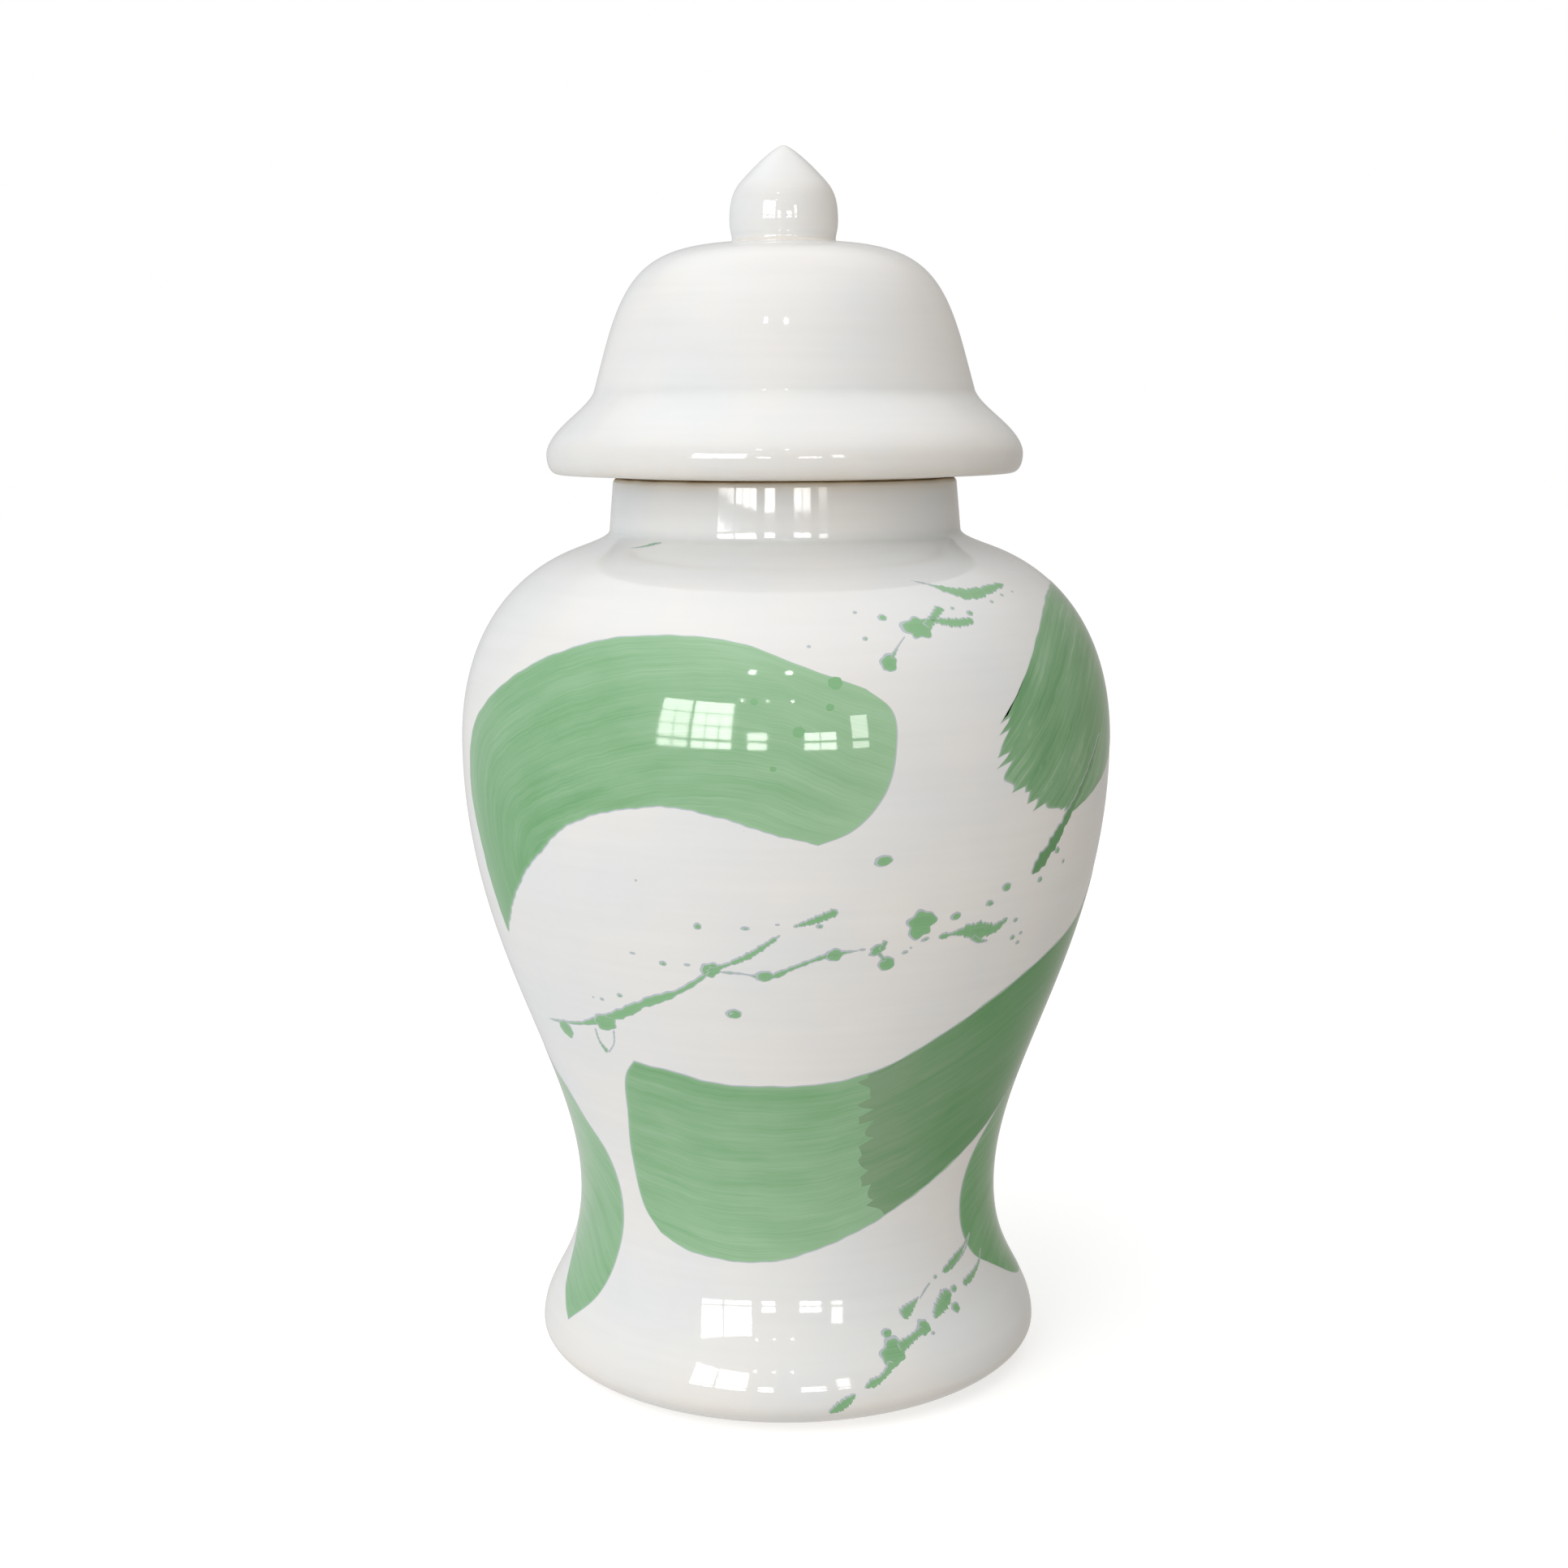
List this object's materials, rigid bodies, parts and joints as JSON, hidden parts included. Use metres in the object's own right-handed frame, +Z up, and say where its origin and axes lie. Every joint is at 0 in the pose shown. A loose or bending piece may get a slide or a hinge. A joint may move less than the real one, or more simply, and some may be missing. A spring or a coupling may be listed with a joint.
{
  "type": "ginger jar",
  "caption": "Lidded baluster ginger jar in glossy white glazed earthenware with broad green brush strokes, a short neck, a flared foot and a bell lid with a bud finial.",
  "frame": {"origin": "centre of the foot ring, on the surface that the jar stands on", "axes": "+Z up along the axis of the jar and lid, +X to the viewer's right, -Y towards the viewer who sees the front of the painting"},
  "size_m": [0.245, 0.245, 0.457],
  "materials": {
    "white_glaze": "gloss",
    "green_brushwork": "gloss",
    "bare_clay": "matte"
  },
  "bodies": {
    "jar": {"jar_body": "white_glaze"},
    "lid": {"lid_shell": "white_glaze", "lid_finial": "white_glaze", "lid_locating_ring": "white_glaze"}
  },
  "joints": [
    {"name": "lid_lift", "type": "slide", "parent": "jar", "child": "lid", "axis": [0, 0, 1], "range_m": [0, 0.12]}
  ]
}
